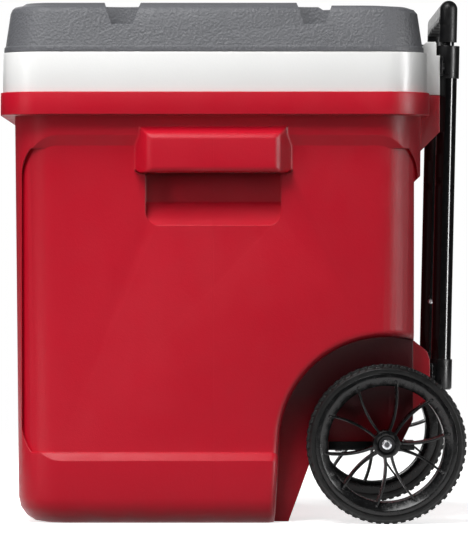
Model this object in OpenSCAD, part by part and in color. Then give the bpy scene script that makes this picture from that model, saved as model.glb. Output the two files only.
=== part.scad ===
// Cooler on wheels: an insulated tub with a hinged lid, two wheels on one axle
// and a telescoping tow handle. X is the width, the front faces -Y, the tow
// handle stands at +Y and the floor is Z = 0. Sizes are in millimetres.

/* [Tub] */
// Depth of the tub over its rim band, front to back
tub_len = 432; // [400:1:520]
// Width of the tub over its rim band
tub_w = 520; // [480:1:640]
// Height from the floor to the top of the rim band
tub_h = 432.5; // [400:0.5:520]
// Height of the rim band
band_h = 22.5; // [18:0.5:28]
// Step from the rim band in to the front and side walls
band_step = 14; // [10:0.5:18]
// Step from the rim band in to the rear wall
rear_step = 8; // [6:0.5:12]
// How far each wall leans in from top to bottom
draft = 4; // [1:0.5:8]
// Radius of the upright corners
corner_r = 46; // [36:1:56]
// Radius of the bottom edges
foot_r = 26; // [20:1:30]
// Wall thickness of the outer shell
shell_t = 2.5; // [2:0.5:4.5]
// Depth of the recessed side and rear panels
panel_t = 6.5; // [4:0.5:8]

/* [Liner] */
// Height of the liner rim above the rim band
rim_h = 40; // [30:1:50]
// Wall thickness of the liner
liner_t = 2.2; // [1.8:0.2:4]
// Foam thickness between shell and liner at the front and sides
foam_t = 30; // [24:1:36]
// Foam thickness at the rear wall, under the floor and over the wheel wells
foam_thin = 16; // [12:1:20]

/* [Lid] */
// Height of the lid from its lower edge to its flat top
lid_h = 46.5; // [40:0.5:60]
// Height of the raised field on top of the lid
field_h = 3; // [1:0.5:5]
// Radius of each cup holder
cup_r = 38; // [34:0.5:42]
// Depth of each cup holder below the raised field
cup_depth = 22; // [16:0.5:26]
// Distance of the cup holders from the middle, across the width
cup_x = 198; // [180:1:205]
// Wall thickness of the lid shell
lid_t = 2.5; // [2:0.5:3.5]
// Gap between the closed lid and the rim
lid_gap = 0.5; // [0.4:0.1:1]

/* [Hinge] */
// Diameter of each hinge pin
pin_d = 4; // [3:0.5:5]
// Width of each hinge knuckle
knuckle_w = 30; // [20:1:40]
// Distance between neighbouring hinge knuckles
knuckle_pitch = 110; // [90:1:120]

/* [Wheels] */
// Diameter of the wheels over the tread
wheel_d = 160; // [140:1:170]
// Width of the wheels
wheel_w = 48; // [40:1:50]
// Distance of the axle in front of the rear of the rim band
axle_in = 44; // [40:1:50]
// Diameter of the axle
axle_d = 9.6; // [8:0.1:11]
// Gap between the tread and the wheel arch
arch_gap = 27; // [20:1:30]
// Number of pairs of spokes in each wheel
spoke_pairs = 5; // [4:1:6]
// Number of tread blocks around each tyre
tread_count = 60; // [40:2:72]
// Depth of the tread
tread_depth = 2.2; // [1.5:0.1:3]

/* [Tow handle] */
// Distance between the two tow tubes
tube_span = 292; // [260:1:310]
// Outer diameter of the fixed tubes
outer_d = 20; // [19:0.5:22]
// Outer diameter of the middle tubes
middle_d = 16; // [15:0.5:17]
// Outer diameter of the inner tubes
inner_d = 12.7; // [12:0.1:13.5]
// Wall thickness of all tow tubes
tube_t = 1.1; // [0.8:0.1:1.3]
// Lean of the tubes towards the rear, in degrees
tow_lean = 1.28; // [0:0.01:1.5]
// Height of the grip above the closed lid's flat top
grip_rise = 10.5; // [8:0.5:14]
// Travel of each of the two telescoping stages
stage_travel = 240; // [180:5:260]
// Travel of the release button
button_travel = 3.5; // [2:0.5:4]

/* [Drain] */
// Bore of the drain
drain_d = 17; // [14:0.5:20]

/* [Hidden] */
$fn = 64;

// Places that follow from the sizes above
wheel_r = wheel_d / 2;
front_y = -(tub_len - axle_in + wheel_r) / 2;
rear_y = front_y + tub_len;
axle_y = rear_y - axle_in;
band_z = tub_h - band_h;
body_r = corner_r - 2;
rim_z = tub_h + rim_h;
lid_z = rim_z + lid_gap;
lid_top_z = lid_z + lid_h;
field_z = lid_top_z + field_h;
wall_x = tub_w / 2 - band_step;
panel_x = wall_x - draft / 2 - panel_t;
wall_y = rear_y - rear_step;
panel_y = wall_y - panel_t - 1;
corner_steps = 10;

// Wheel wells and the raised floor over the axle
wheel_in = tub_w / 2 - 8 - wheel_w;
well_x = wheel_in - 12;
arch_r = wheel_r + arch_gap;
floor_z = wheel_r + 1;
ramp_y = axle_y - arch_r + 9;
ramp_len = 30;
bracket_y0 = ramp_y + ramp_len + 11;
bracket_y1 = axle_y + 30;
bracket_h = 9;

// Liner
liner_w = tub_w - 2 * (band_step + shell_t + foam_t) - 9;
liner_y0 = front_y + band_step + shell_t + foam_t;
liner_y1 = panel_y - shell_t - foam_thin - 9;
liner_z = shell_t + foam_t - 2;
liner_r = corner_r - 16;

// Hinge line, just behind the lid
lid_y0 = front_y + 3.5;
lid_y1 = rear_y - 5.5;
lid_w = tub_w - 8;
axis_y = lid_y1 + 7;
axis_z = lid_z + 7;
knuckle_r = 6;
ledge_x = tube_span / 2 + 26;
pin_end = knuckle_pitch + knuckle_w / 2 + 16;

// Tow handle
tube_x = tube_span / 2;
boss_y = rear_y + 12.5;
boss_wall = 7.5;
tow_y = boss_y + 8.9 - (rim_z - 10) * sin(tow_lean);
tube_foot = wheel_r + 52.5;
collar_top = lid_z + 10.5;
collar_h = 33;
grip_top_z = lid_top_z + grip_rise;
grip_r = 9;
grip_mid = grip_top_z - grip_r;
sleeve_top = grip_top_z - 25;
sleeve_foot = collar_top + 4;
channel_z = grip_top_z - 17;

// Hairline between the foam and the skins around it
hair = 0.2;
low_boss_y = boss_y - outer_d / 2 - 0.1;

// Side lift grips
lift_y = front_y + 214.5;
lift_len = 160;
lift_top = band_z - 10;
lift_foot = lift_top - 49;
pocket_foot = lift_foot - 52;
pocket_x = panel_x - 17;

// Drain, low on the left side
drain_y = liner_y0 + 37.5;
drain_z = liner_z + liner_t + 25;
drain_neck_d = drain_d + 7;
drain_nut_d = drain_d + 12;
drain_pad_x = wall_x - draft + 2;

red = [0.69, 0.09, 0.16];
black = [0.05, 0.05, 0.055];
grey = [0.44, 0.44, 0.46];
white = [0.92, 0.92, 0.9];
steel = [0.75, 0.76, 0.78];
foam_yellow = [0.93, 0.87, 0.66];

// One ring of points: a rounded rectangle at height z
function ring(w, y0, y1, r, z) = [
  for (c = [[1, 1, 0], [-1, 1, 90], [-1, -1, 180], [1, -1, 270]])
    for (k = [0 : corner_steps])
      let (a = c[2] + 90 * k / corner_steps)
        [c[0] * (w / 2 - r) + r * cos(a), (c[1] > 0 ? y1 - r : y0 + r) + r * sin(a), z]
];

// A closed solid through a stack of rings
module loft(rings) {
  n = len(rings[0]);
  m = len(rings);
  polyhedron(
    points = [for (q = rings) each q],
    faces = concat(
      [[for (i = [0 : n - 1]) i]],
      [[for (i = [n - 1 : -1 : 0]) (m - 1) * n + i]],
      [for (j = [0 : m - 2], i = [0 : n - 1]) [j * n + i, (j + 1) * n + i, j * n + (i + 1) % n]],
      [for (j = [0 : m - 2], i = [0 : n - 1])
        [j * n + (i + 1) % n, (j + 1) * n + i, (j + 1) * n + (i + 1) % n]]
    )
  );
}

module rounded_rect(w, l, r) {
  square([w, l - 2 * r], center = true);
  square([w - 2 * r, l], center = true);
  for (sx = [-1, 1], sy = [-1, 1])
    translate([sx * (w / 2 - r), sy * (l / 2 - r)]) circle(r);
}

// Rounded plate from y0 to y1 and from z0 to z1
module plate(w, y0, y1, r, z0, z1) {
  translate([0, (y0 + y1) / 2, z0]) linear_extrude(z1 - z0) rounded_rect(w, y1 - y0, r);
}

// Plate that follows the rim band's outline, moved in by d
module rim_plate(d, z0, z1) {
  plate(tub_w - 2 * d, front_y + d, rear_y - d, corner_r - d, z0, z1);
}

// Outline in the YZ plane, drawn out along X from x0 to x1
module along_x(x0, x1) {
  translate([x0, 0, 0]) rotate([90, 0, 90]) linear_extrude(x1 - x0) children();
}

// Outline in the XZ plane, drawn out along Y from y0 to y1
module along_y(y0, y1) {
  translate([0, y1, 0]) rotate([90, 0, 0]) linear_extrude(y1 - y0) children();
}

module both_sides() {
  children();
  mirror([1, 0, 0]) children();
}

// Frame of the tow handle: its Z axis runs up the leaning tubes
module tow() {
  translate([0, tow_y, 0]) rotate([-tow_lean, 0, 0]) children();
}

module at_tubes() {
  tow() for (sx = [-1, 1]) translate([sx * tube_x, 0, 0]) children();
}

module at_tube(sx) {
  tow() translate([sx * tube_x, 0, 0]) children();
}

module tube(d, t, z0, z1) {
  translate([0, 0, z0]) difference() {
    cylinder(d = d, h = z1 - z0);
    translate([0, 0, -1]) cylinder(d = d - 2 * t, h = z1 - z0 + 2);
  }
}

// Screw of that shank and head, running along -Y from its head's underside at the origin
module screw(d, length, head_d, head_h) {
  rotate([90, 0, 0]) cylinder(d = d, h = length, $fn = 24);
  translate([0, head_h, 0]) rotate([90, 0, 0]) difference() {
    cylinder(d = head_d, h = head_h, $fn = 32);
    translate([0, 0, -0.1]) linear_extrude(head_h * 0.6) {
      square([head_d * 0.6, 0.9], center = true);
      square([0.9, head_d * 0.6], center = true);
    }
  }
}

module plate_screw() {
  screw(3.6, 10, 7, 2);
}

module bracket_screw() {
  screw(4, 16, 8, 2);
}

// ---- Outer shell, foam and liner ----

function lean(z) = draft * (1 - z / band_z);

function tub_ring(g, z, inset) = ring(
  2 * (wall_x - lean(z) - g - inset),
  front_y + band_step + lean(z) + g + inset,
  wall_y - lean(z) - g - inset,
  body_r - (g + inset) * 0.7,
  z
);

// Drafted block of the tub with its walls moved in by g
module tub_block(g, top) {
  r = foot_r - g;
  loft([
    for (a = [90 : -22.5 : 0]) tub_ring(g, g + r * (1 - sin(a)), r * (1 - cos(a))),
    tub_ring(g, top, 0)
  ]);
}

// Block whose sides are moved in by the panel depth but whose ends stay where they are
module narrow_block(g) {
  loft([
    for (z = [-1, tub_h])
      ring(
        2 * (wall_x - lean(z) - panel_t - g), front_y + band_step + lean(z) + g, wall_y - lean(z) - g,
        body_r - g * 0.7, z
      )
  ]);
}

// What the side panels and the rear panel take out of the tub
module panel_cut(g) {
  y0 = front_y + 22;
  y1 = wall_y - 4;
  z0 = 61 - g;
  z1 = band_z - 23 + g;
  bevel = panel_t * 1.6;
  x0 = panel_x - g;
  x1 = wall_x + 2;
  run = (x1 - x0) / panel_t * bevel;
  inner_x = wall_x - 70;
  both_sides() difference() {
    intersection() {
      along_x(inner_x, x1)
        translate([(y0 + y1) / 2, (z0 + z1) / 2]) rounded_rect(y1 - y0 + 2 * g, z1 - z0 + 10, 42);
      along_y(y0 - 20, y1 + 20)
        polygon([
          [inner_x, z0 + bevel], [inner_x, z1 - bevel], [x0, z1 - bevel], [x1, z1 - bevel + run],
          [x1, z0 + bevel - run], [x0, z0 + bevel]
        ]);
    }
    narrow_block(g);
  }
  along_x(-tub_w, tub_w)
    polygon([
      [panel_y - g, 20], [panel_y - g, band_z - 67], [wall_y + 2, band_z - 58], [wall_y + 20, band_z - 58],
      [wall_y + 20, 20]
    ]);
}

module well_cut(g) {
  both_sides() {
    translate([well_x - g, axle_y, wheel_r]) rotate([0, 90, 0])
      cylinder(r = arch_r + g, h = tub_w / 2, $fn = 128);
    along_x(well_x - g, tub_w)
      polygon([
        [axle_y - arch_r - g, wheel_r], [axle_y - arch_r - 5 - g, -1], [tub_len, -1], [tub_len, wheel_r]
      ]);
  }
  top = floor_z + g;
  along_x(-tub_w, tub_w)
    polygon([
      [ramp_y - 1.07 * g, -1], [ramp_y + ramp_len - 1.07 * g, top], [panel_y - 11 - 0.62 * g, top],
      [panel_y + 8, floor_z + 38 + 2.24 * g], [rear_y + 50, floor_z + 38 + 2.24 * g], [rear_y + 50, -1]
    ]);
}

// Beam under the hinge ledge and two pads behind the tube sockets
module rear_bosses(g, wall) {
  knee = band_z - 15;
  along_x(-(ledge_x - g), ledge_x - g)
    polygon([
      [wall_y - 12, tub_h - 0.5], [boss_y - wall, tub_h - 0.5], [boss_y - wall, knee + 0.4 * g],
      [wall_y - 2, knee - (boss_y - wall_y) - 2 + 1.4 * g], [wall_y - 12, knee - 20 + 1.4 * g]
    ]);
  both_sides() along_x(tube_x - 25 + g, tube_x + 25 - g)
    polygon([
      [panel_y - 6, 184 - g], [panel_y, 184 - g], [low_boss_y - 3 - wall / 2, 172 - g],
      [low_boss_y - wall, 164 - g],
      [low_boss_y - wall, 126 + g], [panel_y, 126 - (low_boss_y - panel_y) + 1.4 * g],
      [panel_y - 6, 126 - (low_boss_y - panel_y) + 1.4 * g]
    ]);
}

// Thick places on the shell's inside: the axle trough and the bracket pads
module floor_bosses() {
  translate([-well_x, axle_y - 14, floor_z - 1]) cube([2 * well_x, 28, 12]);
  both_sides() translate([well_x - 46, bracket_y0 - 2, floor_z - 1])
    cube([46, bracket_y1 - bracket_y0 + 3, 10]);
}

// Space behind each lift grip for the fingers, moved out by g
module pocket(g) {
  x0 = pocket_x - g;
  both_sides() intersection() {
    along_y(lift_y - 68 - g, lift_y + 68 + g)
      polygon([
        [panel_x + 1, pocket_foot - g], [x0, pocket_foot + 24 - g], [x0, lift_top - 9 + g],
        [tub_w / 2 - 4 + g, lift_top - 13 + g], [tub_w / 2 - 4 + g, lift_foot], [tub_w / 2 + 10, lift_foot],
        [tub_w / 2 + 10, pocket_foot - g]
      ]);
    along_x(x0 - 1, tub_w / 2 + 20)
      translate([lift_y, (pocket_foot + lift_top) / 2])
        rounded_rect(136 + 2 * g, lift_top - pocket_foot + 2 * g, 14 + g);
    linear_extrude(tub_h)
      polygon([
        [x0 - 1, lift_y - 68 - g], [panel_x + 1, lift_y - 68 - g], [tub_w / 2 - 4, lift_y - 56 - g],
        [tub_w / 2 + 12, lift_y - 56 - g], [tub_w / 2 + 12, lift_y + 56 + g],
        [tub_w / 2 - 4, lift_y + 56 + g], [panel_x + 1, lift_y + 68 + g], [x0 - 1, lift_y + 68 + g]
      ]);
  }
}

// Hooded ledge over each pocket
module lift_ledges() {
  x0 = panel_x - 4;
  x1 = tub_w / 2;
  y0 = lift_y - lift_len / 2;
  y1 = lift_y + lift_len / 2;
  both_sides() intersection() {
    along_y(y0, y1)
      polygon([
        [x0, lift_foot], [x1 - 3, lift_foot + 1], [x1, lift_foot + 5], [x1, lift_top - 13],
        [x1 - 3, lift_top - 9], [x0, lift_top + 6]
      ]);
    translate([0, 0, lift_foot - 5]) linear_extrude(lift_top - lift_foot + 20)
      polygon([
        [x0, y0 - 2], [x1 - 3, y0 + 13], [x1, y0 + 18],
        [x1, y1 - 18], [x1 - 3, y1 - 13], [x0, y1 + 2]
      ]);
    along_x(x0 - 1, x1 + 1)
      translate([lift_y, (lift_foot + lift_top + 6) / 2])
        rounded_rect(lift_len, lift_top + 6 - lift_foot, 9);
  }
}

// Space inside the shell, which the foam fills
module shell_space() {
  difference() {
    union() {
      difference() {
        tub_block(shell_t, tub_h - 2.5);
        panel_cut(shell_t);
        well_cut(shell_t);
        floor_bosses();
      }
      rim_plate(shell_t, band_z + shell_t, tub_h - 2.5);
      rear_bosses(shell_t, boss_wall);
    }
    pocket(shell_t);
  }
}

module drain_hole() {
  translate([-drain_pad_x - 1, drain_y, drain_z]) rotate([0, 90, 0]) cylinder(d = drain_neck_d, h = 60);
}

module tow_grooves() {
  at_tubes() {
    translate([0, 0, band_z - 60]) cylinder(d = outer_d + 0.8, h = 140);
    translate([0, 0, collar_top - collar_h - 1]) cylinder(d = outer_d + 4.8, h = collar_h + 20);
  }
}

module axle_groove() {
  translate([-tub_w / 2, axle_y, wheel_r]) rotate([0, 90, 0]) cylinder(d = axle_d + 0.6, h = tub_w);
}

module collar_screw_places() {
  for (sx = [-1, 1], dx = [-19, 19])
    translate([sx * tube_x + dx, boss_y + 3, collar_top - 22]) children();
}

module socket_screw_places() {
  for (sx = [-1, 1], dx = [-17.5, 17.5])
    translate([sx * tube_x + dx, low_boss_y + 3, tube_foot + 12]) children();
}

module bracket_screw_places() {
  for (sx = [-1, 1], y = [bracket_y0 + 11, bracket_y1 - 12])
    translate([sx * (well_x - 22), y, floor_z - bracket_h]) rotate([-90, 0, 0]) children();
}

module outer_shell() {
  color(red) difference() {
    union() {
      difference() {
        tub_block(0, band_z + 1);
        panel_cut(0);
      }
      rim_plate(0, band_z, tub_h);
      rear_bosses(0, 0);
      lift_ledges();
      translate([-drain_pad_x, drain_y, drain_z]) rotate([0, 90, 0]) cylinder(d = 40, h = 6);
    }
    well_cut(0);
    shell_space();
    rim_plate(8, tub_h - 3, tub_h + 1);
    pocket(0);
    drain_hole();
    tow_grooves();
    axle_groove();
    collar_screw_places() plate_screw();
    socket_screw_places() plate_screw();
    bracket_screw_places() bracket_screw();
  }
}

function liner_ring(d, z) = ring(
  liner_w + z / tub_h * 6 - 2 * d, liner_y0 - z / tub_h * 3 + d, liner_y1 + z / tub_h * 3 - d, liner_r - d, z
);

// Basin of the liner with its walls moved in by d
module basin(d, top) {
  difference() {
    loft([
      liner_ring(d + 10, liner_z + d), liner_ring(d + 3, liner_z + d + 3),
      liner_ring(d, liner_z + d + 10), liner_ring(d, top)
    ]);
    well_cut(shell_t + foam_thin - 1 + d);
  }
}

module ledge_block(d) {
  translate([-ledge_x + d, wall_y - 20, tub_h - 1])
    cube([2 * (ledge_x - d), boss_y - (d > 0 ? boss_wall : 0) - wall_y + 20, rim_h + 1 - d]);
}

// Ledge behind the lid that carries the hinge pins
module hinge_ledge() {
  r = knuckle_r + 0.4;
  back_y = axis_y + 7.5;
  difference() {
    along_x(-ledge_x, ledge_x) {
      translate([axis_y, axis_z]) circle(r = r);
      polygon([
        [axis_y - r, rim_z - 1], [axis_y - r, axis_z], [axis_y, axis_z + r], [back_y - 1, axis_z + r],
        [back_y, axis_z + r - 1], [back_y, rim_z - 1]
      ]);
    }
    for (k = [-1 : 1])
      translate([k * knuckle_pitch - knuckle_w / 2 - 0.6, axis_y - 12, rim_z])
        cube([knuckle_w + 1.2, 30, 30]);
    translate([-pin_end, axis_y, axis_z]) rotate([0, 90, 0]) cylinder(d = pin_d, h = 2 * pin_end, $fn = 32);
  }
}

module inner_liner() {
  color(white) difference() {
    union() {
      difference() {
        union() {
          rim_plate(2.5, tub_h, rim_z);
          difference() {
            ledge_block(0);
            translate([-tub_w, -tub_len, tub_h - 10]) cube([2 * tub_w, 3 * tub_len, 10]);
          }
        }
        difference() {
          union() {
            rim_plate(2.5 + liner_t, tub_h - 1, rim_z - liner_t);
            ledge_block(liner_t);
          }
          translate([-tub_w, -tub_len, rim_z - liner_t]) cube([2 * tub_w, 3 * tub_len, 10]);
        }
      }
      basin(0, rim_z - 1);
      hinge_ledge();
    }
    basin(liner_t, rim_z + 1);
    drain_hole();
    tow_grooves();
    collar_screw_places() plate_screw();
  }
}

module foam_core() {
  color(foam_yellow) difference() {
    union() {
      shell_space();
      rim_plate(8, tub_h - 2.6, tub_h + 0.1);
      intersection() {
        union() {
          rim_plate(2.5 + liner_t, tub_h, rim_z - liner_t);
          ledge_block(liner_t);
        }
        translate([-tub_w, -tub_len, tub_h]) cube([2 * tub_w, 3 * tub_len, rim_h - liner_t]);
      }
    }
    basin(-hair, rim_z + 1);
    drain_hole();
    tow_grooves();
    collar_screw_places() plate_screw();
    socket_screw_places() plate_screw();
    bracket_screw_places() bracket_screw();
  }
}

// ---- Drain ----

module at_drain() {
  translate([-drain_pad_x, drain_y, drain_z]) rotate([0, 90, 0]) children();
}

module drain_body() {
  depth = drain_pad_x - liner_w / 2 + 9;
  color(white) at_drain() difference() {
    union() {
      translate([0, 0, -4]) cylinder(d = drain_d + 15, h = 2.5);
      translate([0, 0, -4]) cylinder(d = drain_neck_d, h = depth + 4);
    }
    translate([0, 0, -5]) cylinder(d = drain_d, h = depth + 6);
  }
}

module drain_gasket() {
  color(black) at_drain() translate([0, 0, -1.5]) difference() {
    cylinder(d = drain_d + 13, h = 1.5);
    translate([0, 0, -1]) cylinder(d = drain_neck_d, h = 4);
  }
}

module drain_nut() {
  z0 = drain_pad_x - liner_w / 2 + liner_t;
  color(white) at_drain() translate([0, 0, z0]) difference() {
    cylinder(d = drain_nut_d, h = 5, $fn = 6);
    translate([0, 0, -1]) cylinder(d = drain_neck_d, h = 8);
  }
}

module drain_plug() {
  color(white) at_drain() difference() {
    union() {
      translate([0, 0, -9]) cylinder(d = drain_d + 12, h = 4.5);
      translate([0, 0, -4.6]) cylinder(d = drain_d - 0.6, h = 24);
      for (a = [0 : 30 : 330])
        rotate(a) translate([drain_d / 2 + 6, 0, -9]) cylinder(r = 1.2, h = 4.5, $fn = 16);
    }
    translate([0, 0, -1]) cylinder(d = drain_d - 5, h = 22);
  }
}

// ---- Lid ----

function lid_ring(d, z, side, back) = ring(
  lid_w - 2 * (d + side), lid_y0 + d + side, lid_y1 - d - back, max(12, corner_r - 2 - d - side), z
);

// Body of the lid with its walls moved in by d
module lid_block(d) {
  t = lid_top_z - d;
  loft([
    lid_ring(d, lid_z - (d > 0 ? 1 : 0), 0.5, 0.5), lid_ring(d, lid_z + 1, 0, 0),
    lid_ring(d, lid_z + 5, 0.3, 0.3), lid_ring(d, lid_z + 6, 1.5, 1.5),
    lid_ring(d, t - 7.3, 6.5, 6.5),
    lid_ring(d, t - 3.3, 8.2, 10), lid_ring(d, t - 0.9, 11, 18), lid_ring(d, t, 15, 34)
  ]);
}

module lid_field() {
  y1 = cup_rear_y + 6;
  loft([
    ring(lid_w - 26, lid_y0 + 15, y1 + 6, 34, lid_top_z - 2),
    ring(lid_w - 30, lid_y0 + 17, y1 + 4, 32, lid_top_z),
    ring(lid_w - 38, lid_y0 + 22, y1 - 1, 28, field_z)
  ]);
}

cup_front_y = front_y + 123.5;
cup_rear_y = front_y + 316;

module at_cups() {
  for (y = [cup_front_y, cup_rear_y]) both_sides() translate([cup_x, y, 0]) children();
}

// Cup holders and the notches that let water run out of them, walls moved out by g
module cups(g) {
  z0 = field_z - cup_depth - g;
  at_cups() {
    translate([0, 0, z0]) cylinder(r = cup_r + g, h = 40);
    along_x(0, 100)
      polygon([[-10.5 - g, z0], [10.5 + g, z0], [19.5 + g, z0 + 26 + g], [-19.5 - g, z0 + 26 + g]]);
  }
}

// Deep step at the rear middle of the lid that takes the tow grip when the lid is up
module grip_step(g) {
  along_x(-ledge_x - g, ledge_x + g)
    polygon([
      [lid_y1 - 46 - g, lid_top_z + 20], [lid_y1 - 42.5 - g, axis_z + 10 - g], [lid_y1 + 20, axis_z + 10 - g],
      [lid_y1 + 20, lid_top_z + 20]
    ]);
}

// Finger recess under the lid's front edge
module lid_pull(g) {
  translate([-60 - g, lid_y0 - 5, lid_z - 2]) cube([120 + 2 * g, 17 + g, 10 + g]);
}

// Space inside the lid behind a skin of thickness t
module lid_space(t) {
  difference() {
    lid_block(t);
    translate([-tub_w, -tub_len, lid_z - 10]) cube([2 * tub_w, 3 * tub_len, 10 + liner_t]);
    cups(t);
    grip_step(t);
    lid_pull(t);
  }
}

module lid_top() {
  color(grey) difference() {
    union() {
      difference() {
        union() {
          lid_block(0);
          lid_field();
        }
        lid_space(lid_t);
        plate(lid_w - 2 * lid_t, lid_y0 + lid_t, lid_y1 - lid_t, corner_r - 8, lid_z - 2, lid_z + liner_t);
        grip_step(0);
      }
      for (k = [-1 : 1])
        along_x(k * knuckle_pitch - knuckle_w / 2, k * knuckle_pitch + knuckle_w / 2) {
          translate([axis_y, axis_z]) circle(r = knuckle_r);
          polygon([
            [axis_y, axis_z - knuckle_r], [axis_y, axis_z + knuckle_r],
            [lid_y1 - lid_t + 0.3, axis_z + knuckle_r], [lid_y1 - lid_t + 0.3, axis_z - knuckle_r]
          ]);
        }
      lid_pull_wall();
    }
    cups(0);
    lid_pull(0);
    translate([-ledge_x, axis_y, axis_z]) rotate([0, 90, 0])
      cylinder(d = pin_d + 0.16, h = 2 * ledge_x, $fn = 32);
  }
}

// Wall around the finger recess
module lid_pull_wall() {
  translate([-60 - lid_t, lid_y0 + 2, lid_z + 0.01]) cube([120 + 2 * lid_t, 10 + lid_t, 8 + lid_t]);
}

// Plug of the lid liner that reaches into the basin, walls moved in by d
module lid_plug(d) {
  w = liner_w - 2 * liner_t - 2;
  y0 = liner_y0 + liner_t + 3;
  y1 = liner_y1 - liner_t - 3;
  loft([
    ring(w - 8 - 2 * d, y0 + 4 + d, y1 - 4 - d, liner_r - 8 - d, lid_z - 8 + d),
    ring(w - 2 * d, y0 + d, y1 - d, liner_r - 4 - d, lid_z - 4 + d),
    ring(w - 2 * d, y0 + d, y1 - d, liner_r - 4 - d, lid_z + liner_t - (d > 0 ? -1 : 0.5))
  ]);
}

module lid_liner() {
  color(white) difference() {
    union() {
      plate(
        lid_w - 2 * lid_t - 0.4, lid_y0 + lid_t + 0.2, lid_y1 - lid_t - 0.2, corner_r - 8.2,
        lid_z, lid_z + liner_t
      );
      lid_plug(0);
    }
    lid_plug(2.5);
    lid_pull(lid_t + 0.2);
  }
}

module lid_foam() {
  color(foam_yellow) difference() {
    union() {
      lid_space(lid_t + hair);
      intersection() {
        lid_plug(2.5 + hair);
        translate([-tub_w, -tub_len, lid_z - 20]) cube([2 * tub_w, 3 * tub_len, 20 + liner_t]);
      }
    }
    lid_pull_wall();
  }
}

module hinge_pins() {
  color(steel) for (k = [-1 : 1])
    translate([k * knuckle_pitch - knuckle_w / 2 - 16, axis_y, axis_z]) rotate([0, 90, 0])
      cylinder(d = pin_d, h = knuckle_w + 32, $fn = 32);
}

// ---- Axle and wheels ----

module along_axle(x0, x1) {
  translate([x0, axle_y, wheel_r]) rotate([90, 0, 90]) linear_extrude(x1 - x0) children();
}

hub_in = wheel_in - 6;
hub_out = wheel_in + wheel_w - 2;
hub_r = 13.5;
rim_r = wheel_r - 9;
barrel_r = wheel_r - 21.5;

module axle() {
  half = hub_out + 6;
  color(steel) {
    along_axle(-half, half) circle(d = axle_d);
    both_sides() translate([half, axle_y, wheel_r]) rotate([0, 90, 0])
      cylinder(d1 = axle_d, d2 = axle_d - 2.4, h = 1.2);
  }
}

module axle_bracket() {
  color(black) difference() {
    translate([well_x - 42, bracket_y0, floor_z - bracket_h])
      cube([40, bracket_y1 - bracket_y0, bracket_h]);
    axle_groove();
    bracket_screw_places() bracket_screw();
  }
}

module axle_bracket_right() {
  axle_bracket();
}

module axle_bracket_left() {
  mirror([1, 0, 0]) axle_bracket();
}

module bracket_screws() {
  color(steel) bracket_screw_places() bracket_screw();
}

module axle_washers() {
  color(steel) both_sides() {
    along_axle(hub_in - 1.8, hub_in - 0.3) difference() { circle(r = 9); circle(d = axle_d); }
    along_axle(hub_out + 0.3, hub_out + 1.5) difference() { circle(r = 8); circle(d = axle_d); }
  }
}

module axle_clips() {
  color(black) both_sides() along_axle(hub_out + 1.5, hub_out + 3) difference() {
    circle(r = 8);
    circle(d = axle_d);
    translate([0, -9]) square([5, 12], center = true);
  }
}

// One curved spoke: it leaves the hub beside its twin and bends away towards the rim
function spoke_bend(r) = 3.2 + 0.0067 * pow(r - 10, 2) * (60 / wheel_r * 4 / 3);

module spoke(s) {
  steps = 10;
  r0 = hub_r - 2;
  r1 = barrel_r + 4;
  t = 1.2;
  radii = [for (k = [0 : steps]) r0 + (r1 - r0) * k / steps];
  polygon(concat(
    [for (r = radii) [r, s * (spoke_bend(r) - t)]],
    [for (k = [steps : -1 : 0]) [radii[k], s * (spoke_bend(radii[k]) + t)]]
  ));
}

module spokes(end_r) {
  intersection() {
    circle(r = end_r);
    for (k = [0 : spoke_pairs - 1])
      rotate(-81 + 360 / spoke_pairs * k) {
        spoke(1);
        spoke(-1);
      }
  }
}

module wheel() {
  w = wheel_w;
  color(black) {
    difference() {
      union() {
        along_axle(hub_in, hub_out) circle(r = hub_r);
        along_axle(wheel_in + 4, wheel_in + w - 6) spokes(barrel_r + 1.5);
        along_axle(wheel_in + w - 6.1, wheel_in + w - 2.4) spokes(barrel_r + 5);
      }
      along_axle(hub_in - 1, hub_out + 1) circle(d = axle_d + 0.16);
      along_axle(hub_out - 4, hub_out + 1) circle(r = 8.6);
    }
    translate([wheel_in, axle_y, wheel_r]) rotate([90, 0, 90]) rotate_extrude($fn = 128)
      polygon([
        [barrel_r, 3], [barrel_r + 4, 0], [rim_r, 0], [rim_r, 4], [barrel_r + 3, 7], [barrel_r + 3, w - 8],
        [rim_r, w - 4], [rim_r, w], [barrel_r + 8, w], [barrel_r, w - 7]
      ]);
  }
}

module wheel_right() {
  wheel();
}

module wheel_left() {
  mirror([1, 0, 0]) wheel();
}

// Outline of the tread: alternating blocks and gaps
module tread_outline(turn) {
  n = tread_count;
  polygon([
    for (k = [0 : n - 1], s = [[0, 1], [0.56, 1], [0.68, 0], [0.88, 0]])
      let (a = 360 / n * (k + s[0] + turn), r = wheel_r - (1 - s[1]) * tread_depth) [r * cos(a), r * sin(a)]
  ]);
}

module tyre() {
  w = wheel_w;
  seat_r = barrel_r + 3 + hair;
  tread_r = wheel_r - tread_depth;
  color(black) {
    translate([wheel_in, axle_y, wheel_r]) rotate([90, 0, 90]) rotate_extrude($fn = 128)
      polygon([
        [seat_r, 7 + hair], [rim_r + hair, 4 + hair], [rim_r + hair, 0.5], [wheel_r - 4.5, 0.5],
        [tread_r, 3.5], [tread_r, w - 3.5], [wheel_r - 4.5, w - 0.5],
        [rim_r + hair, w - 0.5], [rim_r + hair, w - 4 - hair], [seat_r, w - 8 - hair]
      ]);
    difference() {
      union() {
        along_axle(wheel_in + 3.5, wheel_in + w / 2 - 1.5) tread_outline(0.5 - 0.28);
        along_axle(wheel_in + w / 2 + 1.5, wheel_in + w - 3.5) tread_outline(-0.28);
      }
      along_axle(wheel_in - 1, wheel_in + w + 1) circle(r = wheel_r - 4, $fn = 128);
    }
  }
}

module tyre_right() {
  tyre();
}

module tyre_left() {
  mirror([1, 0, 0]) tyre();
}

// ---- Tow handle: fixed stage ----

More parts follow.
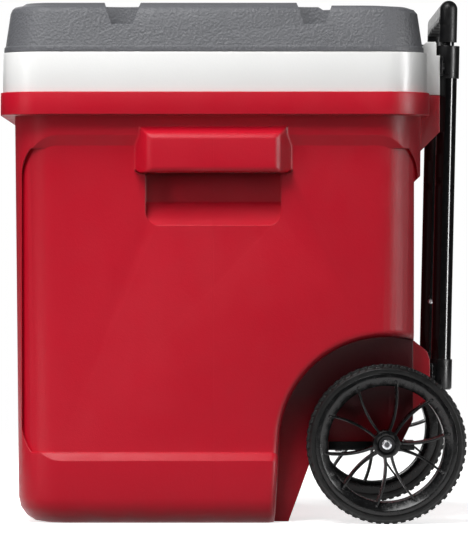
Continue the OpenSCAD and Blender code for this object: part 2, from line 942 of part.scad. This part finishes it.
outer_top = collar_top - 3.5;
outer_id = outer_d - 2 * tube_t;
middle_id = middle_d - 2 * tube_t;
inner_id = inner_d - 2 * tube_t;

module outer_tube(sx) {
  color(black) difference() {
    at_tube(sx) tube(outer_d, tube_t, tube_foot + 5, outer_top);
    rivet_hole(sx);
  }
}

module outer_tube_left() {
  outer_tube(-1);
}

module outer_tube_right() {
  outer_tube(1);
}

rivet_z = tube_foot + 88;

module rivet_hole(sx) {
  at_tube(sx) translate([-sx * (outer_d / 2 + 2), 0, rivet_z]) rotate([0, sx * 90, 0])
    cylinder(d = 3, h = 4, $fn = 24);
}

module tube_rivets() {
  color(steel) for (sx = [-1, 1]) at_tube(sx) {
    translate([-sx * (outer_d / 2 + 1.3), 0, rivet_z]) rotate([0, sx * 90, 0])
      cylinder(d1 = 3.4, d2 = 5.4, h = 1.3, $fn = 24);
    translate([-sx * (outer_d / 2 + 0.2), 0, rivet_z]) rotate([0, sx * 90, 0])
      cylinder(d = 3, h = 1.1, $fn = 24);
  }
}

// Collar that holds the top of a fixed tube to the ledge and guides the middle tube
module tube_collar(sx) {
  color(black) difference() {
    union() {
      at_tube(sx) translate([0, 0, collar_top - collar_h]) cylinder(d = outer_d + 4, h = collar_h);
      translate([sx * tube_x - 27, boss_y, collar_top - 31]) cube([54, 3, 19]);
    }
    at_tube(sx) {
      translate([0, 0, collar_top - collar_h - 1]) cylinder(d = outer_d, h = collar_h - 2.5);
      translate([0, 0, collar_top - 5]) cylinder(d = middle_d + 0.7, h = 10);
    }
    collar_screw_places() plate_screw();
  }
}

module tube_collar_left() {
  tube_collar(-1);
}

module tube_collar_right() {
  tube_collar(1);
}

// Closed socket that holds the foot of a fixed tube
module tube_socket(sx) {
  color(black) difference() {
    union() {
      at_tube(sx) {
        translate([0, 0, tube_foot + 1.5]) cylinder(d = outer_d + 3, h = 29.5);
        translate([0, 0, tube_foot]) cylinder(d1 = outer_d, d2 = outer_d + 3, h = 1.5);
      }
      translate([sx * tube_x - 24, low_boss_y, tube_foot + 2]) cube([48, 3, 25]);
    }
    at_tube(sx) translate([0, 0, tube_foot + 5]) cylinder(d = outer_d, h = 40);
    socket_screw_places() plate_screw();
  }
}

module tube_socket_left() {
  tube_socket(-1);
}

module tube_socket_right() {
  tube_socket(1);
}

module collar_screws() {
  color(steel) collar_screw_places() plate_screw();
}

module socket_screws() {
  color(steel) socket_screw_places() plate_screw();
}

// ---- Tow handle: middle stage ----

middle_foot = tube_foot + 20;
middle_top = collar_top - 0.6;

module middle_tube(sx) {
  color(black) at_tube(sx) tube(middle_d, tube_t, middle_foot, middle_top);
}

module middle_tube_left() {
  middle_tube(-1);
}

module middle_tube_right() {
  middle_tube(1);
}

// Nylon bush in the mouth of each middle tube
module middle_bushes() {
  color(black) at_tubes() tube(middle_id, (middle_id - inner_d) / 2 - 0.15, middle_top - 12, middle_top);
}

// Guide on the foot of each middle tube
module middle_guides() {
  color(black) at_tubes() difference() {
    union() {
      translate([0, 0, middle_foot - 12]) cylinder(d = outer_id - 0.3, h = 12);
      translate([0, 0, middle_foot]) cylinder(d = middle_id, h = 10);
    }
    translate([0, 0, middle_foot - 13]) cylinder(d = 6, h = 30);
  }
}

// ---- Tow handle: inner stage and grip ----

inner_foot = middle_foot + 26;
inner_top = channel_z - 0.5;

module inner_tube(sx) {
  color(black) at_tube(sx) tube(inner_d, tube_t, inner_foot, inner_top);
}

module inner_tube_left() {
  inner_tube(-1);
}

module inner_tube_right() {
  inner_tube(1);
}

module inner_guides() {
  color(black) at_tubes() difference() {
    union() {
      translate([0, 0, inner_foot - 10]) cylinder(d = middle_id - 0.3, h = 10);
      translate([0, 0, inner_foot]) cylinder(d = inner_id, h = 3);
    }
    translate([0, 0, inner_foot - 1]) cylinder(d = 5, h = 6);
    translate([-10, 0, inner_foot - 5]) rotate([0, 90, 0]) cylinder(d = 4, h = 20, $fn = 32);
  }
}

module lock_pins() {
  color(steel) at_tubes() translate([-5.2, 0, inner_foot - 5]) rotate([0, 90, 0])
    cylinder(d = 4, h = 10.4, $fn = 32);
}

cover_half = tube_x - grip_r - 0.2;

// Hollow upper half of the grip: a rounded bar with a domed post at each end
module grip_top() {
  color(black) tow() difference() {
    union() {
      for (sx = [-1, 1]) translate([sx * tube_x, 0, 0]) {
        translate([0, 0, sleeve_top]) cylinder(r = grip_r, h = grip_mid - sleeve_top);
        translate([0, 0, grip_mid]) sphere(r = grip_r);
      }
      translate([-tube_x, 0, grip_mid]) rotate([0, 90, 0]) cylinder(r = grip_r, h = tube_span);
      translate([-tube_x, -grip_r, channel_z]) cube([tube_span, 2 * grip_r, grip_mid - channel_z]);
    }
    translate([-tube_x - 3, -5.5, channel_z]) cube([tube_span + 6, 11, grip_mid + 4.8 - channel_z]);
    translate([-29, -4.9, grip_mid]) cube([58, 9.8, 20]);
    translate([-cover_half - 0.1, -grip_r - 1, channel_z - 5])
      cube([2 * cover_half + 0.2, 2 * grip_r + 2, 5]);
    for (sx = [-1, 1]) translate([sx * tube_x, 0, sleeve_top - 1])
      cylinder(d = inner_d, h = inner_top - sleeve_top + 3);
  }
}

// Lower half of the grip bar, with hollows for the fingers
module grip_cover() {
  color(black) tow() difference() {
    translate([-cover_half, -grip_r, channel_z - 5.5]) cube([2 * cover_half, 2 * grip_r, 5.5]);
    for (k = [-1.5 : 1 : 1.5])
      translate([k * 56, -20, channel_z - 5.5 - 36]) rotate([-90, 0, 0]) cylinder(r = 38.5, h = 40);
  }
}

module grip_sleeves() {
  color(black) at_tubes() tube(2 * grip_r, grip_r - inner_d / 2, sleeve_foot, sleeve_top);
}

yoke_z = channel_z + 7;

module release_yoke() {
  color(black) tow() translate([-tube_x - 2.5, -3.5, yoke_z]) cube([tube_span + 5, 7, 3]);
}

module release_button() {
  color(black) tow() difference() {
    translate([-28.6, -4.5, yoke_z + 3]) cube([57.2, 9, grip_top_z - yoke_z - 3.2]);
    translate([0, -10, grip_top_z + 178.6]) rotate([-90, 0, 0]) cylinder(r = 180, h = 20, $fn = 360);
  }
}

module release_rods() {
  color(steel) at_tubes() translate([0, 0, inner_foot + 5])
    cylinder(d = 4, h = yoke_z - inner_foot - 5, $fn = 32);
}

// Return springs under the yoke
spring_turns = 3;
spring_r = 2.6;
wire_r = 0.4;

module coil(z0, z1) {
  steps = 12 * spring_turns;
  sides = 6;
  rise = (z1 - z0 - 2 * wire_r) / steps;
  pts = [
    for (i = [0 : steps], j = [0 : sides - 1])
      let (a = 30 * i, b = 360 / sides * j, r = spring_r + wire_r * cos(b))
        [r * cos(a), r * sin(a), z0 + wire_r + rise * i + wire_r * sin(b)]
  ];
  polyhedron(
    points = pts,
    faces = concat(
      [[for (j = [0 : sides - 1]) j]],
      [[for (j = [sides - 1 : -1 : 0]) steps * sides + j]],
      [for (i = [0 : steps - 1], j = [0 : sides - 1])
        [i * sides + j, (i + 1) * sides + j, i * sides + (j + 1) % sides]],
      [for (i = [0 : steps - 1], j = [0 : sides - 1])
        [i * sides + (j + 1) % sides, (i + 1) * sides + j, (i + 1) * sides + (j + 1) % sides]]
    )
  );
}

module button_springs() {
  color(steel) tow() for (sx = [-1, 1]) translate([sx * 70, 0, 0]) coil(channel_z, yoke_z);
}

outer_shell();
foam_core();
inner_liner();
drain_body();
drain_gasket();
drain_nut();
drain_plug();
lid_top();
lid_foam();
lid_liner();
hinge_pins();
axle();
axle_bracket_left();
axle_bracket_right();
bracket_screws();
axle_washers();
axle_clips();
wheel_left();
wheel_right();
tyre_left();
tyre_right();
outer_tube_left();
outer_tube_right();
tube_collar_left();
tube_collar_right();
tube_socket_left();
tube_socket_right();
collar_screws();
socket_screws();
tube_rivets();
middle_tube_left();
middle_tube_right();
middle_bushes();
middle_guides();
inner_tube_left();
inner_tube_right();
inner_guides();
lock_pins();
grip_top();
grip_cover();
grip_sleeves();
release_button();
release_yoke();
release_rods();
button_springs();
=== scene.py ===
import math

import bpy
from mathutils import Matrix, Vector


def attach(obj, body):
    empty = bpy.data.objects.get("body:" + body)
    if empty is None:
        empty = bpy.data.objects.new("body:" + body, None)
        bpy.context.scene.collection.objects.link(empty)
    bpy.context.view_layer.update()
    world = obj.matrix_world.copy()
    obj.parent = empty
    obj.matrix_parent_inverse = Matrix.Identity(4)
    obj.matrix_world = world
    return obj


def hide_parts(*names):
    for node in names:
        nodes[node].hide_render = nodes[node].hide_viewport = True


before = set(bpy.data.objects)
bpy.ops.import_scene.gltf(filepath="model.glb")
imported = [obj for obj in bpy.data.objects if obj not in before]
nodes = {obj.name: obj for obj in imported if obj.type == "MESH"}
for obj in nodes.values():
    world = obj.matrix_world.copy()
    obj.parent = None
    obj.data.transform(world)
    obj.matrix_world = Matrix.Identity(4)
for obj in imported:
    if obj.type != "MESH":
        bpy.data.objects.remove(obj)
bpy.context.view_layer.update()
scene = bpy.context.scene


# ---- Studio ----
# A white floor that fades into a white surround, lit by a large overhead softbox
# and by others in front, on the left, behind and beside the camera. A tall strip
# behind shows in gloss only. The camera looks level from the cooler's right.
scene.view_settings.view_transform = "Standard"
scene.view_settings.look = "None"

camera = bpy.data.objects.new("camera", bpy.data.cameras.new("camera"))
scene.collection.objects.link(camera)
camera.location = (4.85, 0.0012, 0.2545)
camera.rotation_euler = (math.radians(90), 0, math.radians(90))
camera.data.sensor_width = 36
camera.data.lens = 306.7
camera.data.clip_end = 100
scene.camera = camera


def softbox(name, place, aim, size, watts, lights=True, shines=True):
    """A rectangular light facing a point, which lights surfaces, shows in gloss, or does both."""
    lamp = bpy.data.objects.new(name, bpy.data.lights.new(name, "AREA"))
    lamp.data.shape = "RECTANGLE"
    lamp.data.size, lamp.data.size_y = size
    lamp.data.energy = watts
    lamp.visible_diffuse = lights
    lamp.visible_glossy = shines
    lamp.location = place
    lamp.rotation_euler = (Vector(aim) - Vector(place)).to_track_quat("-Z", "Y").to_euler()
    scene.collection.objects.link(lamp)


softbox("overhead_light", (1.45, -0.6, 2.2), (0.1, 0, 0.2), (1.2, 1.4), 68)
softbox("front_light", (1.7, -2.2, 0.9), (0.2, -0.1, 0.25), (0.6, 1.8), 18)
softbox("fill_light", (3.4, -0.9, 1.1), (0.2, 0, 0.25), (1.2, 1.0), 10, shines=False)
softbox("rear_strip", (1.3, 2.0, 0.6), (0.2, 0.15, 0.25), (0.3, 1.6), 60, lights=False)
softbox("rear_fill", (1.3, 2.0, 0.9), (0.2, 0.15, 0.3), (0.6, 1.4), 6, shines=False)
softbox("left_light", (-2.3, -0.6, 1.3), (0, 0, 0.25), (1.2, 1.6), 15)


class Finish:
    """A material whose pattern is built by adding nodes behind its shader."""

    def __init__(self, name, **fixed):
        self.material = bpy.data.materials.new(name)
        self.material.use_nodes = True
        self.tree = self.material.node_tree
        self.shader = self.tree.nodes["Principled BSDF"]
        for socket, value in fixed.items():
            self.shader.inputs[socket.replace("_", " ")].default_value = value

    def node(self, kind, settings, sockets, out=0):
        """Adds a node, sets it up, and gives back one of its outputs."""
        made = self.tree.nodes.new(kind)
        for name, value in settings.items():
            if name == "stops":
                ramp = made.color_ramp.elements
                ramp[0].position, ramp[0].color = value[0][0], value[0][1]
                ramp[1].position, ramp[1].color = value[1][0], value[1][1]
                for place, colour in value[2:]:
                    ramp.new(place).color = colour
            else:
                setattr(made, name, value)
        for name, value in sockets.items():
            if isinstance(value, Level):
                self.tree.links.new(value.socket, made.inputs[name])
            else:
                made.inputs[name].default_value = value
        return Level(self, made.outputs[out])

    def feed(self, socket, level):
        self.tree.links.new(level.socket, self.shader.inputs[socket])

    def place(self):
        return self.node("ShaderNodeTexCoord", {}, {}, "Object")

    def part_of_place(self, axis):
        return self.node("ShaderNodeSeparateXYZ", {}, {0: self.place()}, axis)

    def near_line(self, y, z, radius):
        """1 within that radius of a line that runs across the cooler, and 0 beyond it."""
        off_y = self.part_of_place("Y") - y
        off_z = self.part_of_place("Z") - z
        return (off_y * off_y + off_z * off_z).under(radius * radius)

    def noise(self, scale, detail=2.0):
        return self.node(
            "ShaderNodeTexNoise", {},
            {"Vector": self.place(), "Scale": scale, "Detail": detail, "Roughness": 0.5},
        )

    def pebbles(self, scale):
        return self.node(
            "ShaderNodeTexVoronoi", {"feature": "SMOOTH_F1"},
            {"Vector": self.place(), "Scale": scale, "Smoothness": 0.7},
        )

    def between(self, level, low, high):
        """Turns a level into a number that runs from low to high over 0.3 to 0.7."""
        return self.node(
            "ShaderNodeMapRange", {"clamp": True},
            {"Value": level, "From Min": 0.3, "From Max": 0.7, "To Min": low, "To Max": high},
        )

    def tint(self, level, first, second):
        """A colour that goes from the first to the second with the level."""
        return self.node(
            "ShaderNodeMix", {"data_type": "RGBA"}, {0: level, 6: (*first, 1), 7: (*second, 1)}, 2
        )

    def relief(self, height, depth, edge=0.0):
        """Bumps of that depth in metres, over edges rounded in the shading by that radius."""
        sockets = {"Height": height, "Distance": depth, "Strength": 1.0}
        if edge:
            sockets["Normal"] = self.node("ShaderNodeBevel", {"samples": 6}, {"Radius": edge})
        self.feed("Normal", self.node("ShaderNodeBump", {}, sockets))


class Level:
    """The output of a node, with plain arithmetic on it."""

    def __init__(self, finish, socket):
        self.finish = finish
        self.socket = socket

    def step(self, operation, first, second):
        return self.finish.node("ShaderNodeMath", {"operation": operation}, {0: first, 1: second})

    def __add__(self, other):
        return self.step("ADD", self, other)

    def __mul__(self, other):
        return self.step("MULTIPLY", self, other)

    def __sub__(self, other):
        return self.step("SUBTRACT", self, other)

    def __rsub__(self, other):
        return self.step("SUBTRACT", other, self)

    __radd__ = __add__
    __rmul__ = __mul__

    def distance_from(self, middle):
        return self.finish.node("ShaderNodeMath", {"operation": "ABSOLUTE"}, {0: self - middle})

    def under(self, limit):
        return self.step("LESS_THAN", self, limit)


def deselect():
    bpy.ops.object.select_all(action="DESELECT")


deselect()
bpy.ops.mesh.primitive_circle_add(vertices=96, radius=2.6, fill_type="NGON")
floor = bpy.context.object
floor.name = "studio_floor"
floor_paint = Finish(
    "studio_floor", Roughness=0.9, Emission_Color=(1, 1, 1, 1), Emission_Strength=0.7
)
floor_paint.feed(
    "Base Color", floor_paint.tint(floor_paint.noise(3), (0.93, 0.93, 0.93), (0.95, 0.95, 0.95))
)
radius = floor_paint.node(
    "ShaderNodeVectorMath", {"operation": "LENGTH"}, {0: floor_paint.place()}, 1
)
fade = floor_paint.node(
    "ShaderNodeMapRange", {"interpolation_type": "SMOOTHSTEP"},
    {"Value": radius, "From Min": 0.55, "From Max": 2.4, "To Min": 1.0, "To Max": 0.0},
)
floor_paint.feed("Alpha", fade)
floor.data.materials.append(floor_paint.material)
floor.visible_diffuse = False

world = bpy.data.worlds.new("studio")
world.use_nodes = True
scene.world = world
sky = world.node_tree.nodes["Background"]
sky.inputs["Color"].default_value = (1, 1, 1, 1)
ray = world.node_tree.nodes.new("ShaderNodeLightPath")
look = world.node_tree.nodes.new("ShaderNodeTexCoord")
split = world.node_tree.nodes.new("ShaderNodeSeparateXYZ")
world.node_tree.links.new(look.outputs["Generated"], split.inputs[0])


def blend(value, low, high, start=0.0, end=1.0):
    """A strength that goes from low to high as the value goes from start to end."""
    made = world.node_tree.nodes.new("ShaderNodeMapRange")
    made.inputs["From Min"].default_value = start
    made.inputs["From Max"].default_value = end
    made.inputs["To Max"].default_value = high
    world.node_tree.links.new(value, made.inputs["Value"])
    if isinstance(low, bpy.types.NodeSocket):
        world.node_tree.links.new(low, made.inputs["To Min"])
    else:
        made.inputs["To Min"].default_value = low
    return made.outputs[0]


by_height = blend(split.outputs["Z"], 0.02, 0.36, -0.2, 0.7)
in_gloss = blend(ray.outputs["Is Glossy Ray"], by_height, 0.06)
in_view = blend(ray.outputs["Is Camera Ray"], in_gloss, 1.0)
world.node_tree.links.new(in_view, sky.inputs["Strength"])


# ---- Outer shell ----
# One blow-moulded polyethylene tub in red, with a fine grained skin, softly
# rounded wheel arches and lift grips, and a faint parting line up each side,
# where the mould closed. The inside of each wheel arch is darkened almost to
# black with painted shade.
def eased(name, node, body, finish, edge, steps=3, soft=()):
    """A copy of a CAD node, standing for it, whose hard edges are rounded by that radius.

    Each entry of soft is a test of a point and the radius of the edges whose two ends pass it.
    """
    deselect()
    piece = bpy.data.objects.new(name, nodes[node].data.copy())
    scene.collection.objects.link(piece)
    bpy.context.view_layer.objects.active = piece
    piece.select_set(True)
    bpy.ops.object.mode_set(mode="EDIT")
    bpy.ops.mesh.select_all(action="SELECT")
    bpy.ops.mesh.remove_doubles(threshold=0.00002)
    bpy.ops.mesh.dissolve_limited(angle_limit=math.radians(0.6))
    bpy.ops.object.mode_set(mode="OBJECT")
    if piece.data.has_custom_normals:
        bpy.ops.mesh.customdata_custom_splitnormals_clear()
    for test, radius in soft:
        mesh = piece.data
        weights = mesh.attributes.get("bevel_weight_edge")
        if weights is None:
            weights = mesh.attributes.new("bevel_weight_edge", "FLOAT", "EDGE")
        for line in mesh.edges:
            ends = [mesh.vertices[v].co for v in line.vertices]
            weights.data[line.index].value = float(all(test(end) for end in ends))
        wide = piece.modifiers.new("wide", "BEVEL")
        wide.width = radius
        wide.segments = 5
        wide.limit_method = "WEIGHT"
        wide.use_clamp_overlap = False
        bpy.ops.object.modifier_apply(modifier="wide")
    rounding = piece.modifiers.new("rounding", "BEVEL")
    rounding.width = edge
    rounding.segments = steps
    rounding.limit_method = "ANGLE"
    rounding.angle_limit = math.radians(30)
    rounding.harden_normals = False
    rounding.use_clamp_overlap = True
    bpy.ops.object.modifier_apply(modifier="rounding")
    bpy.ops.object.shade_smooth_by_angle(angle=math.radians(32))
    piece.data.materials.clear()
    piece.data.materials.append(finish.material)
    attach(piece, body)
    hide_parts(node)


# The axle's line and the wheel arches' radius around it, and the plane in which
# the mould closed, where the lift grips have their middle.
axle_y, axle_z = 0.154, 0.080
arch_radius = 0.107
mould_y = -0.0195


def on_arch(point):
    """Whether a point lies on the lip of a wheel arch or of the upright edge below it."""
    if abs(point.x) < 0.2:
        return False
    if point.z > axle_z - 0.0005:
        return abs(math.hypot(point.y - axle_y, point.z - axle_z) - arch_radius) < 0.0005
    upright_y = axle_y - arch_radius - 0.005 * (axle_z - point.z) / 0.081
    return abs(point.y - upright_y) < 0.0006


def on_grip(point):
    """Whether a point lies on the outer part of a lift grip."""
    return abs(point.x) > 0.2385 and abs(point.y - mould_y) < 0.083 and 0.35 < point.z < 0.4065


shell_red = Finish("shell_red", Roughness=0.42, Specular_IOR_Level=0.22)
cloud = shell_red.tint(shell_red.noise(7, 3), (0.42, 0.0026, 0.0135), (0.49, 0.0036, 0.019))
# Painted shade: inside each wheel arch the red is blended towards near black. It starts just in
# from the arch's lip, deepens inwards and fades out towards the bottom.
arch_shade_zone = shell_red.near_line(axle_y, axle_z, arch_radius + 0.0018)
across = shell_red.part_of_place("X").distance_from(0)
inside = (1 - across.under(0.19)) * shell_red.node(
    "ShaderNodeMapRange", {"clamp": True},
    {"Value": across, "From Min": 0.235, "From Max": 0.218, "To Max": 0.85},
)
arch_shade_height = shell_red.node(
    "ShaderNodeMapRange", {"clamp": True},
    {"Value": shell_red.part_of_place("Z"), "From Min": 0.07, "From Max": 0.13},
)
# The near black of the painted shade in the arches.
painted_arch_shade = (0.02, 0.004, 0.006, 1)
shell_red.feed("Base Color", shell_red.node(
    "ShaderNodeMix", {"data_type": "RGBA"}, {0: arch_shade_zone * inside * arch_shade_height, 6: cloud, 7: painted_arch_shade}, 2
))
shell_red.feed("Roughness", shell_red.between(shell_red.noise(40, 2), 0.36, 0.46))
parting = shell_red.part_of_place("Y").distance_from(mould_y).under(0.0004)
skin = shell_red.noise(900, 2) * 0.5 + shell_red.noise(300, 2) * 0.3
shell_red.relief(skin + parting * 0.6, 0.0003, 0.0015)
eased(
    "red_shell", "outer_shell", "tub", shell_red, 0.0012,
    soft=[(on_arch, 0.008), (on_grip, 0.002)],
)


# ---- Liner ----
# White polyethylene liner: the basin, the flange that overhangs the shell and
# the hinge ledge behind it, moulded as one piece with a smooth, slightly glossy skin.
liner_white = Finish("liner_white", Roughness=0.32)
liner_white.feed(
    "Base Color", liner_white.tint(liner_white.noise(9, 3), (0.75, 0.75, 0.74), (0.8, 0.8, 0.79))
)
liner_white.feed("Roughness", liner_white.between(liner_white.noise(60), 0.28, 0.38))
liner_white.relief(liner_white.noise(500, 2), 0.00006, 0.0015)
eased("white_liner", "inner_liner", "tub", liner_white, 0.001)


# ---- Lid ----
# Grey polyethylene lid with a pebbled skin and four cup holders, blow moulded,
# with knuckles on its rear edge for the hinge pins.
lid_grey = Finish("lid_grey", Roughness=0.5, Specular_IOR_Level=0.35)
lid_grey.feed(
    "Base Color", lid_grey.tint(lid_grey.noise(11, 3), (0.088, 0.09, 0.098), (0.108, 0.11, 0.119))
)
lid_grey.feed("Roughness", lid_grey.between(lid_grey.noise(70), 0.44, 0.56))
lid_grey.relief(lid_grey.pebbles(420) * 0.7 + lid_grey.noise(900) * 0.3, 0.0008, 0.0015)
eased("grey_lid", "lid_top", "lid", lid_grey, 0.0018)


# ---- Lid tray ----
# White polyethylene tray that closes the lid's underside and plugs the basin,
# formed with the lid around the foam.
eased("lid_tray", "lid_liner", "lid", liner_white, 0.001)


# ---- Foam ----
# Cream polyurethane foam, poured between the skins of the tub and of the lid,
# where it sets into one block with fine closed cells.
def give(finish, *names):
    """Puts a finish on CAD nodes whose own edges are already right."""
    for name in names:
        mesh = nodes[name].data
        mesh.materials.clear()
        mesh.materials.append(finish.material)


foam_cream = Finish("foam_cream", Roughness=0.85)
foam_cream.feed(
    "Base Color", foam_cream.tint(foam_cream.noise(300, 4), (0.78, 0.66, 0.34), (0.86, 0.75, 0.45))
)
foam_cream.relief(foam_cream.pebbles(900), 0.0004)
give(foam_cream, "foam_core", "lid_foam")


# ---- Drain ----
# Threaded drain fitting, its nut inside the basin and its ribbed plug, all
# injection moulded in white polypropylene.
drain_white = Finish("drain_white", Roughness=0.35)
drain_white.feed(
    "Base Color", drain_white.tint(drain_white.noise(30), (0.76, 0.76, 0.74), (0.82, 0.82, 0.80))
)
drain_white.feed("Roughness", drain_white.between(drain_white.noise(90), 0.3, 0.42))
drain_white.relief(drain_white.noise(700), 0.00005, 0.0008)
give(drain_white, "drain_body", "drain_nut", "drain_plug")


# ---- Drain gasket ----
# Black rubber washer, punched from sheet, squeezed between the drain fitting's
# flange and the shell.
seal_rubber = Finish("seal_rubber", Roughness=0.7)
seal_rubber.feed(
    "Base Color",
    seal_rubber.tint(seal_rubber.noise(80), (0.012, 0.012, 0.012), (0.03, 0.03, 0.03)),
)
seal_rubber.relief(seal_rubber.noise(900), 0.0001)
give(seal_rubber, "drain_gasket")


# ---- Black fittings ----
# Axle brackets, tube collars and tube sockets, injection moulded in black
# polypropylene and screwed to the tub.
fitting_black = Finish("fitting_black", Roughness=0.34, Specular_IOR_Level=0.28)
fitting_black.feed(
    "Base Color",
    fitting_black.tint(fitting_black.noise(40), (0.002, 0.002, 0.0022), (0.005, 0.005, 0.0055)),
)
fitting_black.feed("Roughness", fitting_black.between(fitting_black.noise(120), 0.26, 0.4))
fitting_black.relief(fitting_black.noise(1200), 0.00006, 0.0008)
for side in ("left", "right"):
    eased(f"{side}_collar", f"tube_collar_{side}", "tub", fitting_black, 0.0006)
    eased(f"{side}_socket", f"tube_socket_{side}", "tub", fitting_black, 0.0006)
    eased(f"{side}_bracket", f"axle_bracket_{side}", "tub", fitting_black, 0.0006)


# ---- Guides and yoke ----
# Nylon bushes and guides inside the tow tubes and the yoke under the release
# button, injection moulded in the same black.
give(fitting_black, "middle_bushes", "middle_guides", "inner_guides", "release_yoke")


# ---- Tow tubes ----
# Three sizes of drawn steel tube that slide in one another, coated in a glossy
# black enamel.
tube_black = Finish(
    "tube_black", Roughness=0.16, Specular_IOR_Level=0.3, Coat_Weight=0.25, Coat_Roughness=0.08
)
tube_black.feed(
    "Base Color",
    tube_black.tint(tube_black.noise(30), (0.0012, 0.0012, 0.0014), (0.003, 0.003, 0.0032)),
)
tube_black.feed("Roughness", tube_black.between(tube_black.noise(200), 0.12, 0.22))
tube_black.relief(tube_black.noise(600), 0.00003)
for side in ("left", "right"):
    give(tube_black, f"outer_tube_{side}", f"middle_tube_{side}", f"inner_tube_{side}")


# ---- Tow grip ----
# Grip bar in two halves with a domed post at each end, sleeves below them and
# the release button on top, injection moulded in black with a satin skin.
grip_black = Finish("grip_black", Roughness=0.42, Specular_IOR_Level=0.25)
grip_black.feed(
    "Base Color",
    grip_black.tint(grip_black.noise(50), (0.0022, 0.0022, 0.0025), (0.005, 0.005, 0.0055)),
)
grip_black.feed("Roughness", grip_black.between(grip_black.noise(150), 0.36, 0.48))
grip_black.relief(grip_black.noise(900), 0.00002)
eased("grip_bar", "grip_top", "inner_stage", grip_black, 0.0008)
eased("grip_underside", "grip_cover", "inner_stage", grip_black, 0.0008)
give(grip_black, "grip_sleeves", "release_button")


# ---- Steel pieces ----
# Hinge pins, screws, rivets, lock pins, release rods and return springs, cut or
# wound from zinc-plated steel.
steel = Finish("steel", Metallic=1.0, Roughness=0.28)
steel.feed("Base Color", steel.tint(steel.noise(90, 3), (0.55, 0.56, 0.58), (0.68, 0.69, 0.71)))
steel.feed("Roughness", steel.between(steel.noise(260), 0.2, 0.36))
steel.relief(steel.noise(1500), 0.00004)
give(
    steel, "hinge_pins", "bracket_screws", "tube_rivets", "lock_pins", "release_rods",
    "button_springs",
)


# ---- Blackened screws, washers and clips ----
# Screws through the collars and sockets, and the washers and spring clips on the
# axle, stamped or cut from steel and blackened in oil.
black_steel = Finish("black_steel", Metallic=0.6, Roughness=0.4)
black_steel.feed(
    "Base Color",
    black_steel.tint(black_steel.noise(90, 3), (0.008, 0.008, 0.009), (0.02, 0.02, 0.021)),
)
black_steel.feed("Roughness", black_steel.between(black_steel.noise(260), 0.3, 0.48))
black_steel.relief(black_steel.noise(1500), 0.00004)
give(black_steel, "collar_screws", "socket_screws", "axle_washers", "axle_clips")


# ---- Axle ----
# Bright drawn steel rod with turned, chamfered ends, each with a small centre
# dimple left by the lathe, darkened with painted shade.
axle_bright = Finish("axle_bright", Metallic=1.0, Roughness=0.22)
# Painted shade: the centre dimple, sunk in the bump below, is also darkened in the base colour.
centre_dimple_and_shade = axle_bright.near_line(axle_y, axle_z, 0.0026)
axle_bright.feed("Base Color", axle_bright.tint(centre_dimple_and_shade, (0.72, 0.73, 0.75), (0.12, 0.12, 0.13)))
axle_bright.feed("Roughness", axle_bright.between(axle_bright.noise(300), 0.16, 0.3))
axle_bright.relief(axle_bright.noise(1500) * 0.3 - centre_dimple_and_shade, 0.0003)
give(axle_bright, "axle")


# ---- Wheels ----
# Each wheel is injection moulded in glossy black polypropylene: a hub, curved
# spokes that leave it in pairs, a small rounded tip where each spoke meets the
# rim, and a dished rim.
wheel_black = Finish("wheel_black", Roughness=0.24, Specular_IOR_Level=0.3)
wheel_black.feed(
    "Base Color",
    wheel_black.tint(wheel_black.noise(40), (0.0015, 0.0015, 0.0017), (0.0035, 0.0035, 0.0038)),
)
wheel_black.feed("Roughness", wheel_black.between(wheel_black.noise(150), 0.18, 0.3))
wheel_black.relief(wheel_black.noise(900), 0.00005, 0.0006)
tip_x, tip_reach = 0.2496, 0.0628
for side, way in (("left", -1), ("right", 1)):
    eased(f"{side}_wheel", f"wheel_{side}", f"wheel_{side}", wheel_black, 0.0006, 2)
    for spoke in range(10):
        turn = math.radians(-81 + 72 * (spoke // 2) + (18.5 if spoke % 2 else -18.5))
        deselect()
        bpy.ops.mesh.primitive_uv_sphere_add(segments=16, ring_count=10, radius=0.0016)
        tip = bpy.context.object
        tip.name = f"{side}_spoke_tip_{spoke + 1}"
        spot = Vector((
            way * tip_x, axle_y + tip_reach * math.cos(turn), axle_z + tip_reach * math.sin(turn)
        ))
        for vertex in tip.data.vertices:
            vertex.co += spot
        bpy.ops.object.shade_smooth()
        tip.data.materials.append(wheel_black.material)
        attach(tip, f"wheel_{side}")


# ---- Tyres ----
# A black thermoplastic tread moulded on each rim, with two rows of blocks that
# alternate and smooth, slightly shiny sidewalls.
tread_black = Finish("tread_black", Roughness=0.4, Specular_IOR_Level=0.22)
tread_black.feed(
    "Base Color",
    tread_black.tint(tread_black.noise(60, 3), (0.003, 0.003, 0.003), (0.006, 0.006, 0.006)),
)
tread_black.feed("Roughness", tread_black.between(tread_black.noise(200), 0.3, 0.48))
tread_black.relief(tread_black.noise(1200), 0.00008, 0.0008)
for side in ("left", "right"):
    eased(f"{side}_tyre", f"tyre_{side}", f"wheel_{side}", tread_black, 0.0008, 2)
